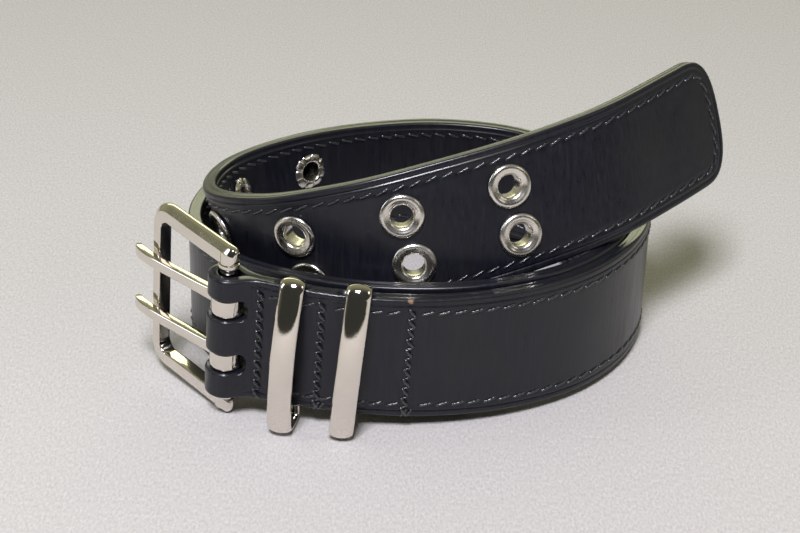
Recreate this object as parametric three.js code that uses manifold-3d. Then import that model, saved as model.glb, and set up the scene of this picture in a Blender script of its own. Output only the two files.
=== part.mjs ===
// Double-prong leather belt, coiled on its lower edge. Millimetres, +Z up, the strap's lower edge on z = 0.
import * as THREE from "three";
import { mergeVertices } from "three/addons/utils/BufferGeometryUtils.js";
import Module from "manifold-3d";

const wasm = await Module();
wasm.setup();

// ---- strap ----
const STRAP_WIDTH = 44.4;
const STRAP_THICK = 4.7; // two plies
const EDGE_CHAMFER = 0.7;
const STEP = 8.1; // length of one facet along the strap
const TIP_LENGTH = 15; // the rounded tip
const TIP_POWER = 2.7; // 2 is round, higher is blunter

// The strap's centre line, a row for each 30 mm: length from the buckle, place, and how far its top edge leans outwards in degrees.
const PATH_COLUMNS = ["s", "x", "y", "z", "lean"];
const PATH = [
  [0, -63.5, -58, 30.5, 0.6],
  [29.6, -34.6, -63.7, 28.5, 3.4],
  [59.1, -5.1, -63.3, 26.8, 3.7],
  [88.7, 23.2, -55.3, 25.7, 2.3],
  [118.2, 47.9, -39.4, 24.8, 0.7],
  [147.8, 65.3, -15.7, 24.1, -0.2],
  [177.4, 72.8, 12.6, 23.4, 0],
  [206.9, 67, 41.3, 22.3, 0],
  [236.5, 47.8, 63.3, 22.2, 0],
  [266, 20.6, 74.2, 22.2, 0],
  [295.6, -8.8, 73.8, 22.2, 0],
  [325.2, -36.8, 64.9, 22.2, 0],
  [354.7, -61.5, 48.8, 22.2, 0],
  [384.3, -78.8, 25.2, 22.2, 0],
  [413.9, -82.2, -3.7, 22.2, 0],
  [443.4, -68.2, -29.3, 22.2, 0],
  [473, -43.2, -44.5, 22.2, 0],
  [502.5, -14.5, -51.9, 22.2, 0],
  [532.1, 16.3, -50.2, 22.2, 0],
  [561.7, 43.7, -37, 22.4, 1],
  [591.2, 60.9, -12.5, 23.4, 2.2],
  [620.8, 64.6, 17.3, 25.1, 2.1],
  [650.3, 54.9, 44.7, 27.3, -0.8],
  [679.9, 32.1, 62.7, 29.4, -3.5],
  [709.5, 3.1, 67.3, 30.5, -4.3],
  [739, -25.5, 60.6, 30.8, -2],
  [768.6, -50.6, 45.2, 30.9, 5.5],
  [798.1, -68.4, 22, 31.8, 14.5],
  [827.7, -69.5, -6.5, 35.8, 17.5],
  [857.3, -52.5, -29, 43.2, 7.5],
  [886.8, -26.4, -39, 51.7, -5.9],
  [916.4, 2, -37.3, 59.2, -12.4],
  [945.9, 29.8, -29.5, 65.5, -13.7],
  [975.5, 55.4, -15.7, 70.3, -15],
  [1005.1, 76.6, 4.7, 73, -16.6],
  [1034.6, 96.3, 26.6, 75.1, -17],
];
const STRAIGHT_TO = 16; // the strap is straight from the fold to here

// ---- fold round the heel bar, and the bar ----
const BAR_AT = -3; // the bar's axis along the strap
const BAR_R = 2.9;
const FOLD_OUTER_R = 6.5;
const FOLD_INNER_R = 3.6;
const FOLD_END = 8; // where the two plies meet
const SLOT_HEIGHT = 7.4;
const SLOT_REACH = 7.6; // slot's end in front of and behind the bar

// ---- buckle frame, in its own plane: a from the bar to the far bar, b to the front, u up ----
const FRAME_SWING_DEG = 35; // how far it hangs back from the strap's line
const FRAME_UP = 0.5; // it stands on the table, so it sits higher than the strap's middle
const FRAME_LENGTH = 39;
const FRAME_HALF_HEIGHT = 31.2;
const SIDE_BAR_HEIGHT = 6.6;
const FAR_BAR_WIDTH = 5.4;
const FRAME_THICK = 4.8;
const HEEL_END = 3.6; // how far the side bars run past the bar's axis
const FRAME_CORNER = 9;

// ---- prongs ----
const PRONG_GAP = 20; // between the two
const PRONG_MIDDLE = 0.8;
const LOOP_R = 5.3;
const LOOP_WIDTH = 6.4;
const PRONG_WIDTH = 3.8;
const PRONG_THICK = 3.2;
const PRONG_LENGTH = 44.6;

// ---- keepers ----
const KEEPER_COLUMNS = ["name", "s", "middle", "tilt"]; // middle: how far the loop hangs below the strap's middle; tilt: degrees along the strap
const KEEPERS = [
  ["keeper_1", 18.5, -1.6, 0],
  ["keeper_2", 37.8, -0.25, 2.4],
];
const KEEPER_WIDTH = 8;
const KEEPER_THICK = 2.3; // at the dome's middle
const KEEPER_BACK = 1.7; // between the plies
const KEEPER_HALF_HEIGHT = 27.4;
// The loop's inner face, arched in front: out of the strap's middle, up from the loop's own middle, thickness there.
const KEEPER_SHAPE_COLUMNS = ["out", "up", "thick"];
const KEEPER_SHAPE = [
  [0.85, -22.7, 1.7],
  [0.85, 22.7, 1.7],
  [0.85, 25.1, 1.8],
  [3.1, 25.1, 2.1],
  [4.5, 21.6, 2.3],
  [7.4, 15.6, 2.3],
  [9.9, 9.2, 2.3],
  [11, 2.6, 2.3],
  [11.3, -6, 2.3],
  [11.1, -15, 2.3],
  [10.3, -23, 2.3],
  [8.3, -25.1, 2.2],
  [0.85, -25.1, 1.8],
];
const POCKET_WIDTH = 10;
const POCKET_THICK = 2.4;

// ---- eyelets ----
const EYELET_PAIRS = 6;
const FIRST_PAIR = 95.2; // from the tip
const PAIR_PITCH = 35.1;
const ROW_PITCH = 16.8;
const ROW_MIDDLE = -0.2;
const EYELET_R = 7.25;
const EYELET_HOLE_R = 3.5;
const BARREL_R = 4.2;
const STRAP_HOLE_R = 4.6;
const GAP = 0.3;
const FLANGE_GAP = 0.7; // the strap is bent under some of the flanges

// ---------------------------------------------------------------- the strap's frame at any length
const L = PATH[PATH.length - 1][0];
const PITCH = L / (PATH.length - 1);
const HALF = STRAP_WIDTH / 2;
const T2 = STRAP_THICK / 2;
const rowAt = (k) => {
  const n = PATH.length - 1;
  if (k < 0) return PATH[0].map((v, i) => 2 * v - PATH[1][i]).slice(1);
  if (k > n) return PATH[n].map((v, i) => 2 * v - PATH[n - 1][i]).slice(1);
  return PATH[k].slice(1);
};
function frameAt(s) {
  const q = Math.max(s, STRAIGHT_TO);
  const x = Math.min(Math.max(q / PITCH, 0), PATH.length - 1 - 1e-9);
  const i = Math.floor(x);
  const u = x - i;
  const [a, b, c, d] = [rowAt(i - 1), rowAt(i), rowAt(i + 1), rowAt(i + 2)];
  const p = b.map((_, k) => 0.5 * (2 * b[k] + (-a[k] + c[k]) * u + (2 * a[k] - 5 * b[k] + 4 * c[k] - d[k]) * u * u + (-a[k] + 3 * b[k] - 3 * c[k] + d[k]) * u ** 3));
  const t = b.map((_, k) => -a[k] + c[k] + 2 * (2 * a[k] - 5 * b[k] + 4 * c[k] - d[k]) * u + 3 * (-a[k] + 3 * b[k] - 3 * c[k] + d[k]) * u * u);
  const T = new THREE.Vector3(t[0], t[1], t[2]).normalize();
  const W0 = new THREE.Vector3(0, 0, 1).addScaledVector(T, -T.z).normalize();
  const N0 = T.clone().cross(W0);
  const lean = (p[3] * Math.PI) / 180;
  const W = W0.multiplyScalar(Math.cos(lean)).addScaledVector(N0, Math.sin(lean));
  const N = T.clone().cross(W);
  const P = new THREE.Vector3(p[0], p[1], Math.max(p[2], HALF)).addScaledVector(T, s - q);
  return { P, T, W, N };
}
// A point of the strap: s along it, n out of its front face, u up its width.
function onStrap(s, n, u) {
  const f = frameAt(s);
  return f.P.clone().addScaledVector(f.N, n).addScaledVector(f.W, u);
}

// ---------------------------------------------------------------- solids
// Rings of points joined into one closed body; a closed loop of rings has no caps.
function skin(rings, loop = false) {
  const m = rings[0].length;
  const verts = [];
  const tris = [];
  rings.forEach((r) => r.forEach((p) => verts.push(p.x, p.y, p.z)));
  const n = rings.length;
  for (let i = 0; i < (loop ? n : n - 1); i++) {
    const j = (i + 1) % n;
    for (let k = 0; k < m; k++) {
      const l = (k + 1) % m;
      const [a, b, c, d] = [i * m + k, i * m + l, j * m + l, j * m + k];
      tris.push(a, b, c, a, c, d);
    }
  }
  if (!loop) {
    for (const [base, flip] of [[0, true], [(n - 1) * m, false]]) {
      const ring = rings[base / m];
      const centre = ring.reduce((s, p) => s.add(p), new THREE.Vector3()).multiplyScalar(1 / m);
      verts.push(centre.x, centre.y, centre.z);
      const e = verts.length / 3 - 1;
      for (let k = 0; k < m; k++) {
        const l = (k + 1) % m;
        if (flip) tris.push(e, base + l, base + k);
        else tris.push(e, base + k, base + l);
      }
    }
  }
  return solid(verts, tris);
}
function solid(verts, tris) {
  const make = (t) => new wasm.Manifold(new wasm.Mesh({ numProp: 3, vertProperties: new Float32Array(verts), triVerts: new Uint32Array(t) }));
  let s = make(tris);
  if (s.volume() < 0) {
    const turned = tris.slice();
    for (let i = 0; i < turned.length; i += 3) [turned[i + 1], turned[i + 2]] = [turned[i + 2], turned[i + 1]];
    s = make(turned);
  }
  return s;
}
function fromGeometry(geometry) {
  const g = geometry.clone();
  g.deleteAttribute("normal");
  g.deleteAttribute("uv");
  const m = mergeVertices(g, 1e-4);
  return solid(Array.from(m.attributes.position.array), Array.from(m.index.array));
}
// A flat outline in two axes, pushed along a third: outline points [p, q], placed by origin + p*A + q*B + r*C.
function prism(outline, r0, r1, place, holes = [], chamfer = 0) {
  const points = outline.map(([x, y]) => new THREE.Vector2(x, y));
  if (THREE.ShapeUtils.isClockWise(points)) points.reverse();
  const shape = new THREE.Shape(points);
  for (const h of holes) shape.holes.push(new THREE.Path(h.map(([x, y]) => new THREE.Vector2(x, y))));
  const g = new THREE.ExtrudeGeometry(shape, chamfer ? { depth: r1 - r0 - 2 * chamfer, bevelEnabled: true, bevelSegments: 1, bevelSize: chamfer, bevelThickness: chamfer, bevelOffset: -chamfer, curveSegments: 1 } : { depth: r1 - r0, bevelEnabled: false, curveSegments: 1 });
  g.translate(0, 0, r0 + (chamfer || 0));
  g.applyMatrix4(place);
  return fromGeometry(g);
}
function arc(cx, cy, r, from, to, steps) {
  const out = [];
  for (let i = 0; i <= steps; i++) {
    const a = ((from + ((to - from) * i) / steps) * Math.PI) / 180;
    out.push([cx + r * Math.cos(a), cy + r * Math.sin(a)]);
  }
  return out;
}

// ---- the strap's body
function section(s, half, n0 = -T2, n1 = T2, c = EDGE_CHAMFER) {
  return [
    [n1 - c, -half],
    [n1, -half + c],
    [n1, half - c],
    [n1 - c, half],
    [n0 + c, half],
    [n0, half - c],
    [n0, -half + c],
    [n0 + c, -half],
  ].map(([n, u]) => onStrap(s, n, u));
}
function strapBody() {
  const rings = [];
  const bodyEnd = L - TIP_LENGTH;
  const count = Math.round((bodyEnd - (FOLD_END - 1)) / STEP);
  for (let i = 0; i <= count; i++) rings.push(section(FOLD_END - 1 + ((bodyEnd - FOLD_END + 1) * i) / count, HALF));
  for (let i = 1; i <= 9; i++) {
    const th = ((90 - i * 8.9) * Math.PI) / 180;
    const x = TIP_LENGTH * (1 - Math.cos(th) ** (2 / TIP_POWER));
    rings.push(section(L - x, HALF * Math.sin(th) ** (2 / TIP_POWER)));
  }
  return skin(rings);
}
const f0 = frameAt(0);
const barPoint = onStrap(BAR_AT, 0, 0);
const strapPlace = new THREE.Matrix4().makeBasis(f0.T, f0.N.clone().negate(), f0.W).setPosition(barPoint); // p along the strap, q backwards, r up: right-handed
function fold() {
  const e = FOLD_END - BAR_AT + 0.5;
  const outer = [[e, -T2], ...arc(0, 0, FOLD_OUTER_R, 290, 70, 16).map(([x, y]) => [x, y]), [e, T2]];
  const inner = [[FOLD_INNER_R * 1.8, 0], ...arc(0, 0, FOLD_INNER_R, 56, 304, 14)];
  return prism(outer, -HALF, HALF, strapPlace, [inner], 0);
}
function box(p0, p1, q0, q1, r0, r1, place) {
  return prism([[p0, q0], [p1, q0], [p1, q1], [p0, q1]], r0, r1, place);
}
const prongU = [PRONG_MIDDLE + PRONG_GAP / 2, PRONG_MIDDLE - PRONG_GAP / 2];
const eyeletRows = [["upper", ROW_MIDDLE + ROW_PITCH / 2], ["lower", ROW_MIDDLE - ROW_PITCH / 2]];
const eyeletS = (k) => L - FIRST_PAIR - k * PAIR_PITCH;
// Rings of a turned shape whose axis is square to the strap at (s, u): profile points are [radius, n].
function turnedOnStrap(s, u, profile, sides, loop) {
  const rings = [];
  for (let i = 0; i < sides; i++) {
    const a = (i / sides) * 2 * Math.PI;
    rings.push(profile.map(([r, n]) => onStrap(s + r * Math.cos(a), n, u + r * Math.sin(a))));
  }
  return skin(rings, loop);
}
function plugOnStrap(s, u, r, sides) {
  const ring = (n) => {
    const out = [];
    for (let i = 0; i < sides; i++) out.push(onStrap(s + r * Math.cos((i / sides) * 2 * Math.PI), n, u + r * Math.sin((i / sides) * 2 * Math.PI)));
    return out;
  };
  return skin([ring(-T2 - 1.5), ring(T2 + 1.5)]);
}
function strap() {
  let s = strapBody().add(fold());
  for (const u of prongU) s = s.subtract(box(-FOLD_OUTER_R - 2, SLOT_REACH, -FOLD_OUTER_R - 2, FOLD_OUTER_R + 2, u - SLOT_HEIGHT / 2, u + SLOT_HEIGHT / 2, strapPlace));
  for (const [, at, middle, tilt] of KEEPERS) {
    const slope = Math.tan((tilt * Math.PI) / 180);
    const rings = [-HALF - 2, HALF + 2].map((u) => [[-1, -1], [1, -1], [1, 1], [-1, 1]].map(([a, b]) => onStrap(at + (a * POCKET_WIDTH) / 2 + slope * (u - middle), (b * POCKET_THICK) / 2, u)));
    s = s.subtract(skin(rings));
  }
  for (let k = 0; k < EYELET_PAIRS; k++) for (const [, u] of eyeletRows) s = s.subtract(plugOnStrap(eyeletS(k), u, STRAP_HOLE_R, 14));
  return s;
}

// ---- eyelet: rolled flange in front, barrel, flatter flange behind
const eyeletProfile = [
  [EYELET_HOLE_R, -T2 - 1.05],
  [EYELET_HOLE_R, T2 + 0.9],
  [EYELET_HOLE_R + 0.9, T2 + 1.8],
  [EYELET_R - 1.3, T2 + 1.5],
  [EYELET_R, T2 + FLANGE_GAP],
  [BARREL_R, T2 + FLANGE_GAP],
  [BARREL_R, -T2 - FLANGE_GAP],
  [EYELET_R - 0.6, -T2 - FLANGE_GAP],
  [EYELET_HOLE_R + 0.9, -T2 - 1.55],
];
const eyelet = (k, u) => turnedOnStrap(eyeletS(k), u, eyeletProfile, 15, true);

// ---- buckle: its own plane is turned about the bar
const swing = (FRAME_SWING_DEG * Math.PI) / 180;
const A = f0.T.clone().multiplyScalar(-Math.cos(swing)).addScaledVector(f0.N, -Math.sin(swing));
const B = f0.N.clone().multiplyScalar(Math.cos(swing)).addScaledVector(f0.T, -Math.sin(swing));
const inFrame = (a, b, u) => barPoint.clone().addScaledVector(A, a).addScaledVector(B, b).addScaledVector(f0.W, u);
const framePlace = new THREE.Matrix4().makeBasis(A, f0.W, A.clone().cross(f0.W)).setPosition(barPoint); // p = a, q = u, r = A x W
const R_IS_FRONT = A.clone().cross(f0.W).dot(B) > 0 ? 1 : -1;
function buckleFrame() {
  const h = FRAME_HALF_HEIGHT;
  const top = FRAME_UP + h;
  const low = FRAME_UP - h;
  const c = FRAME_CORNER;
  const outer = [
    ...arc(-HEEL_END + 2.5, low + 2.5, 2.5, 180, 270, 3),
    ...arc(FRAME_LENGTH - c, low + c, c, 270, 360, 6),
    ...arc(FRAME_LENGTH - c, top - c, c, 0, 90, 6),
    ...arc(-HEEL_END + 2.5, top - 2.5, 2.5, 90, 180, 3),
  ];
  const plate = prism(outer, -FRAME_THICK / 2, FRAME_THICK / 2, framePlace, [], 0.9);
  const w = SIDE_BAR_HEIGHT;
  const ci = 4;
  const a1 = FRAME_LENGTH - FAR_BAR_WIDTH;
  const window = [[-HEEL_END - 5, low + w], ...arc(a1 - ci, low + w + ci, ci, 270, 360, 4), ...arc(a1 - ci, top - w - ci, ci, 0, 90, 4), [-HEEL_END - 5, top - w]];
  const hole = prism(window, -FRAME_THICK, FRAME_THICK, framePlace);
  const bar = [];
  for (const u of [low + 2.2, top - 2.2]) bar.push(arc(0, 0, BAR_R, 0, 337.5, 15).map(([a, b]) => inFrame(a, b, u)));
  return plate.subtract(hole).add(skin(bar));
}
// A prong: a band looped round the bar, and a shank that lies on the far bar and curves down past it.
function prong(u) {
  const ring = (r, r2) => [u - LOOP_WIDTH / 2, u + LOOP_WIDTH / 2].map((v) => arc(0, 0, r, 0, 337.5, 15).map(([a, b]) => inFrame(a, b, v)));
  const outer = skin(ring(LOOP_R));
  const inner = skin([u - LOOP_WIDTH, u + LOOP_WIDTH].map((v) => arc(0, 0, BAR_R + 0.4, 0, 337.5, 15).map(([a, b]) => inFrame(a, b, v))));
  const rest = FRAME_THICK / 2 + GAP + PRONG_THICK / 2;
  // a, b, half width, half thickness: it slopes up from the loop's end to its rest on the far bar
  const spine = [
    [4, -0.1, PRONG_WIDTH / 2 + 0.8, 1.3],
    [8, 0.6, PRONG_WIDTH / 2 + 0.3, PRONG_THICK / 2],
    [20, 2.55, PRONG_WIDTH / 2, PRONG_THICK / 2],
    [31, rest + 0.05, PRONG_WIDTH / 2, PRONG_THICK / 2],
    [35, rest + 0.35, PRONG_WIDTH / 2, PRONG_THICK / 2],
    [39.5, rest + 0.4, PRONG_WIDTH / 2, PRONG_THICK / 2],
    [42.3, rest - 0.1, PRONG_WIDTH / 2 - 0.1, PRONG_THICK / 2 - 0.1],
    [43.9, rest - 0.9, PRONG_WIDTH / 2 - 0.5, PRONG_THICK / 2 - 0.4],
    [PRONG_LENGTH, rest - 1.6, PRONG_WIDTH / 2 - 1, PRONG_THICK / 2 - 0.9],
  ];
  const rings = spine.map(([a, b, hw, ht], i) => {
    const [p, q] = [spine[Math.max(i - 1, 0)], spine[Math.min(i + 1, spine.length - 1)]];
    const d = new THREE.Vector2(q[0] - p[0], q[1] - p[1]).normalize();
    const c = 0.75 * Math.min(hw, ht);
    return [[hw - c, -ht], [hw, -ht + c], [hw, ht - c], [hw - c, ht], [-hw + c, ht], [-hw, ht - c], [-hw, -ht + c], [-hw + c, -ht]].map(([v, r]) => inFrame(a - r * d.y, b + r * d.x, u + v));
  });
  return outer.add(skin(rings)).subtract(inner);
}

// ---- keeper: a closed loop, its back bar between the plies, its domed front bar clear of the strap
function keeper(at, middle, tilt) {
  // each corner of the outline is cut once, to a quarter of its sides
  const path = [];
  KEEPER_SHAPE.forEach((p, i) => {
    const q = KEEPER_SHAPE[(i + 1) % KEEPER_SHAPE.length];
    for (const k of [0.25, 0.75]) path.push(p.map((v, j) => v * (1 - k) + q[j] * k));
  });
  const w = KEEPER_WIDTH / 2;
  const slope = Math.tan((tilt * Math.PI) / 180);
  const dome = [[-w, 0], [-w, 0.3], [-0.8 * w, 0.68], [-0.42 * w, 0.93], [0, 1], [0.42 * w, 0.93], [0.8 * w, 0.68], [w, 0.3], [w, 0]];
  const rings = path.map(([n, u, th], i) => {
    const p = path[(i + path.length - 1) % path.length];
    const q = path[(i + 1) % path.length];
    const d = new THREE.Vector2(q[0] - p[0], q[1] - p[1]).normalize(); // the path runs up the back and down the front, so outwards is to its left
    return dome.map(([a, k]) => onStrap(at, n - d.y * k * th, middle + u + d.x * k * th).addScaledVector(frameAt(at).T, a + slope * u));
  });
  return skin(rings, true);
}

// ---------------------------------------------------------------- materials and export
function mesh(name, body, color, roughness, metalness) {
  const m = body.getMesh();
  const v = new Float32Array(m.numVert * 3);
  for (let i = 0; i < m.numVert; i++) v.set(m.vertProperties.subarray(i * m.numProp, i * m.numProp + 3), i * 3);
  const g = new THREE.BufferGeometry().setAttribute("position", new THREE.BufferAttribute(v, 3)).setIndex(new THREE.BufferAttribute(new Uint32Array(m.triVerts), 1));
  g.computeVertexNormals();
  const out = new THREE.Mesh(g, new THREE.MeshStandardMaterial({ color, roughness, metalness }));
  out.name = name;
  return out;
}
const belt = new THREE.Group();
belt.name = "belt";
belt.add(mesh("strap", strap(), 0x17171a, 0.4, 0));
belt.add(mesh("buckle_frame", buckleFrame(), 0xc9c5bb, 0.18, 1));
belt.add(mesh("prong_upper", prong(prongU[0]), 0xcac6bd, 0.18, 1));
belt.add(mesh("prong_lower", prong(prongU[1]), 0xcac6be, 0.18, 1));
for (const [name, at, middle, tilt] of KEEPERS) belt.add(mesh(name, keeper(at, middle, tilt), 0xcbc7bd, 0.15, 1));
for (let k = 0; k < EYELET_PAIRS; k++) for (const [row, u] of eyeletRows) belt.add(mesh(`eyelet_${k + 1}_${row}`, eyelet(k, u), 0xcdc9c0, 0.2, 1));

export default belt;
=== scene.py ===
"""A black leather belt with a double-prong buckle, coiled on its lower edge: the looks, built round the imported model."""
import math

import bmesh
import bpy
import numpy as np
from mathutils import Matrix, Vector


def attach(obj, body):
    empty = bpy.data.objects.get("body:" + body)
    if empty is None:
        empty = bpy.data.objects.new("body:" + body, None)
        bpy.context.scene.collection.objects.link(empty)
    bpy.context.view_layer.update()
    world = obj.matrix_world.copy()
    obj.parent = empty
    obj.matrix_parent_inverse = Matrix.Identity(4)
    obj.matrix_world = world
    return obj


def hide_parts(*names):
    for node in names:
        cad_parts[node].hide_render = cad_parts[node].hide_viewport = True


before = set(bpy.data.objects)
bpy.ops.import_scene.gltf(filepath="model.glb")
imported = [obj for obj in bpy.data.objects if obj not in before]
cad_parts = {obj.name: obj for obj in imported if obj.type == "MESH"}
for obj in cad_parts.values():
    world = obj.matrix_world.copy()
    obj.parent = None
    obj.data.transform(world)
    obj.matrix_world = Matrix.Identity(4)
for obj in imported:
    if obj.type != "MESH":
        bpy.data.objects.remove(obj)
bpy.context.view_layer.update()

MM = 0.001
rng = np.random.default_rng(7)

# ---------------------------------------------------------------- sizes, the same as the solid model's (mm)
WIDTH, THICK = 44.4, 4.7
HALF, T2 = WIDTH / 2, THICK / 2
TIP_LENGTH, TIP_POWER = 15.0, 2.7
STRAIGHT_TO = 16.0
# length from the buckle, place, and how far the top edge leans outwards in degrees
PATH = np.array([
    [0, -63.5, -58, 30.5, 0.6],
    [29.6, -34.6, -63.7, 28.5, 3.4],
    [59.1, -5.1, -63.3, 26.8, 3.7],
    [88.7, 23.2, -55.3, 25.7, 2.3],
    [118.2, 47.9, -39.4, 24.8, 0.7],
    [147.8, 65.3, -15.7, 24.1, -0.2],
    [177.4, 72.8, 12.6, 23.4, 0],
    [206.9, 67, 41.3, 22.3, 0],
    [236.5, 47.8, 63.3, 22.2, 0],
    [266, 20.6, 74.2, 22.2, 0],
    [295.6, -8.8, 73.8, 22.2, 0],
    [325.2, -36.8, 64.9, 22.2, 0],
    [354.7, -61.5, 48.8, 22.2, 0],
    [384.3, -78.8, 25.2, 22.2, 0],
    [413.9, -82.2, -3.7, 22.2, 0],
    [443.4, -68.2, -29.3, 22.3, 0],
    [473, -43.2, -44.5, 22.9, 0],
    [502.5, -14.5, -51.9, 24, 0],
    [532.1, 16.3, -50.2, 25, 0],
    [561.7, 43.7, -37, 25.5, 1],
    [591.2, 60.9, -12.5, 25.6, 2.2],
    [620.8, 64.6, 17.3, 26.2, 2.1],
    [650.3, 54.9, 44.7, 27.6, -0.8],
    [679.9, 32.1, 62.7, 29.4, -3.5],
    [709.5, 3.1, 67.3, 30.5, -4.3],
    [739, -25.5, 60.6, 30.8, -2],
    [768.6, -50.6, 45.2, 30.9, 5.5],
    [798.1, -68.4, 22, 31.8, 14.5],
    [827.7, -69.5, -6.5, 35.8, 17.5],
    [857.3, -52.5, -29, 43.2, 7.5],
    [886.8, -26.4, -39, 51.7, -5.9],
    [916.4, 2, -37.3, 59.2, -12.4],
    [945.9, 29.8, -29.5, 65.5, -13.7],
    [975.5, 55.4, -15.7, 70.3, -15],
    [1005.1, 76.6, 4.7, 73, -16.6],
    [1034.6, 96.3, 26.6, 75.1, -17],
])
L = PATH[-1, 0]
PITCH = L / (len(PATH) - 1)
BAR_AT, BAR_R, FOLD_R, FOLD_IN, PLY, SPLIT = -3.0, 2.9, 6.5, 3.6, 2.35, 8.0
SLOT_HALF, SLOT_REACH = 3.7, 7.6
SWING = math.radians(35)
FRAME_UP, FRAME_LEN, FRAME_HALF = 0.5, 39.0, 31.2
SIDE_H, FAR_W, FRAME_T, HEEL, CORNER = 6.6, 5.4, 4.8, 3.6, 9.0
PRONG_U = (0.8 + 10.0, 0.8 - 10.0)
LOOP_R, LOOP_W, PRONG_W, PRONG_T, PRONG_LEN = 5.3, 6.4, 3.8, 3.2, 44.6
KEEPERS = [("keeper_1", 18.5, -1.6, 0.0), ("keeper_2", 37.8, -0.25, 2.4)]
KEEPER_W = 8.0
KEEPER_SHAPE = np.array([
    [0.85, -22.7, 1.7], [0.85, 22.7, 1.7], [0.85, 25.1, 1.8], [3.1, 25.1, 2.1], [4.5, 21.6, 2.3],
    [7.1, 15.6, 2.3], [9.2, 9.2, 2.3], [10.6, 2.6, 2.3], [11.4, -5, 2.3], [11.3, -14.5, 2.3],
    [10.3, -23, 2.3], [8.3, -25.1, 2.2], [0.85, -25.1, 1.8],
])
EYELET_S = [L - 95.2 - 35.1 * k for k in range(6)]
EYELET_U = {"upper": -0.2 + 8.4, "lower": -0.2 - 8.4}
HOLE_R = 4.5
CROSS_ROWS = (8.2, 27.8, 55.5)
STITCH_IN = 4.86


# ---------------------------------------------------------------- the strap's own frame
def frames(s):
    s = np.asarray(s, float)
    q = np.maximum(s, STRAIGHT_TO)
    n = len(PATH) - 1
    x = np.clip(q / PITCH, 0, n - 1e-9)
    i = np.floor(x).astype(int)
    u = (x - i)[..., None]
    rows = np.vstack([2 * PATH[0] - PATH[1], PATH, 2 * PATH[-1] - PATH[-2]])[:, 1:]
    a, b, c, d = rows[i], rows[i + 1], rows[i + 2], rows[i + 3]
    p = 0.5 * (2 * b + (-a + c) * u + (2 * a - 5 * b + 4 * c - d) * u**2 + (-a + 3 * b - 3 * c + d) * u**3)
    t = (-a + c + 2 * (2 * a - 5 * b + 4 * c - d) * u + 3 * (-a + 3 * b - 3 * c + d) * u**2)[..., :3]
    T = t / np.linalg.norm(t, axis=-1, keepdims=True)
    W0 = np.array([0, 0, 1.0]) - T * T[..., 2:3]
    W0 /= np.linalg.norm(W0, axis=-1, keepdims=True)
    N0 = np.cross(T, W0)
    lean = np.radians(p[..., 3:4])
    W = W0 * np.cos(lean) + N0 * np.sin(lean)
    N = np.cross(T, W)
    P = p[..., :3].copy()
    P[..., 2] = np.maximum(P[..., 2], HALF)
    return P + T * (s - q)[..., None], T, N, W


def on_strap(s, n, u):
    s, n, u = np.broadcast_arrays(np.asarray(s, float), np.asarray(n, float), np.asarray(u, float))
    P, T, N, W = frames(s)
    return P + N * n[..., None] + W * u[..., None]


P0, T0, N0, W0 = (v[0] for v in frames(np.array([0.0])))
BAR = on_strap([BAR_AT], 0, 0)[0]
A_DIR = -T0 * math.cos(SWING) - N0 * math.sin(SWING)
B_DIR = N0 * math.cos(SWING) - T0 * math.sin(SWING)


def in_fold(p, n, u):
    return BAR + np.asarray(p)[..., None] * T0 + np.asarray(n)[..., None] * N0 + np.asarray(u)[..., None] * W0


def in_frame(a, b, u):
    a, b, u = np.broadcast_arrays(np.asarray(a, float), np.asarray(b, float), np.asarray(u, float))
    return BAR + a[..., None] * A_DIR + b[..., None] * B_DIR + u[..., None] * W0


# ---------------------------------------------------------------- mesh helpers
def make(name, verts, faces, sharp=None, merge=False):
    """An object from points in mm. Faces turn outwards, loose points go."""
    mesh = bpy.data.meshes.new(name)
    mesh.from_pydata((np.asarray(verts, float) * MM).tolist(), [], [list(map(int, f)) for f in faces])
    mesh.update()
    bm = bmesh.new()
    bm.from_mesh(mesh)
    loose = [v for v in bm.verts if not v.link_faces]
    if loose:
        bmesh.ops.delete(bm, geom=loose, context="VERTS")
    if merge:
        bmesh.ops.remove_doubles(bm, verts=bm.verts, dist=1e-7)
    bmesh.ops.recalc_face_normals(bm, faces=bm.faces)
    bm.to_mesh(mesh)
    bm.free()
    mesh.polygons.foreach_set("use_smooth", [True] * len(mesh.polygons))
    if sharp:
        mesh.set_sharp_from_angle(angle=math.radians(sharp))
    obj = bpy.data.objects.new(name, mesh)
    bpy.context.scene.collection.objects.link(obj)
    return obj


def loft(rings, loop_along=False, caps=True, base=0):
    """Faces over rings of equal length, each ring closed. Returns points and faces."""
    rings = np.asarray(rings, float)
    n, m = rings.shape[:2]
    faces = []
    for i in range(n if loop_along else n - 1):
        j = (i + 1) % n
        for k in range(m):
            l = (k + 1) % m
            faces.append((base + i * m + k, base + i * m + l, base + j * m + l, base + j * m + k))
    verts = rings.reshape(-1, 3)
    if caps and not loop_along:
        faces.append(tuple(base + k for k in range(m))[::-1])
        faces.append(tuple(base + (n - 1) * m + k for k in range(m)))
    return verts, faces


def join(parts):
    verts, faces, base = [], [], 0
    for v, f in parts:
        verts.append(v)
        faces += [tuple(base + k for k in q) for q in f]
        base += len(v)
    return np.vstack(verts), faces


def rounded(points, radii, segs=3):
    """A closed outline with its corners rounded."""
    out = []
    m = len(points)
    for i in range(m):
        a, b, c = (np.array(points[(i + k) % m], float) for k in (-1, 0, 1))
        r = radii[i] if hasattr(radii, "__len__") else radii
        d0, d1 = a - b, c - b
        l0, l1 = np.linalg.norm(d0), np.linalg.norm(d1)
        d0, d1 = d0 / l0, d1 / l1
        cut = min(r * 1.0, l0 * 0.49, l1 * 0.49)
        if cut < 1e-4:
            out.append(b)
            continue
        p, q = b + d0 * cut, b + d1 * cut
        for k in range(segs + 1):
            t = k / segs
            out.append((1 - t) ** 2 * p + 2 * t * (1 - t) * b + t * t * q)
    return np.array(out)


def smooth(x, a, b):
    t = np.clip((np.asarray(x, float) - a) / (b - a), 0, 1)
    return t * t * (3 - 2 * t)


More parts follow.
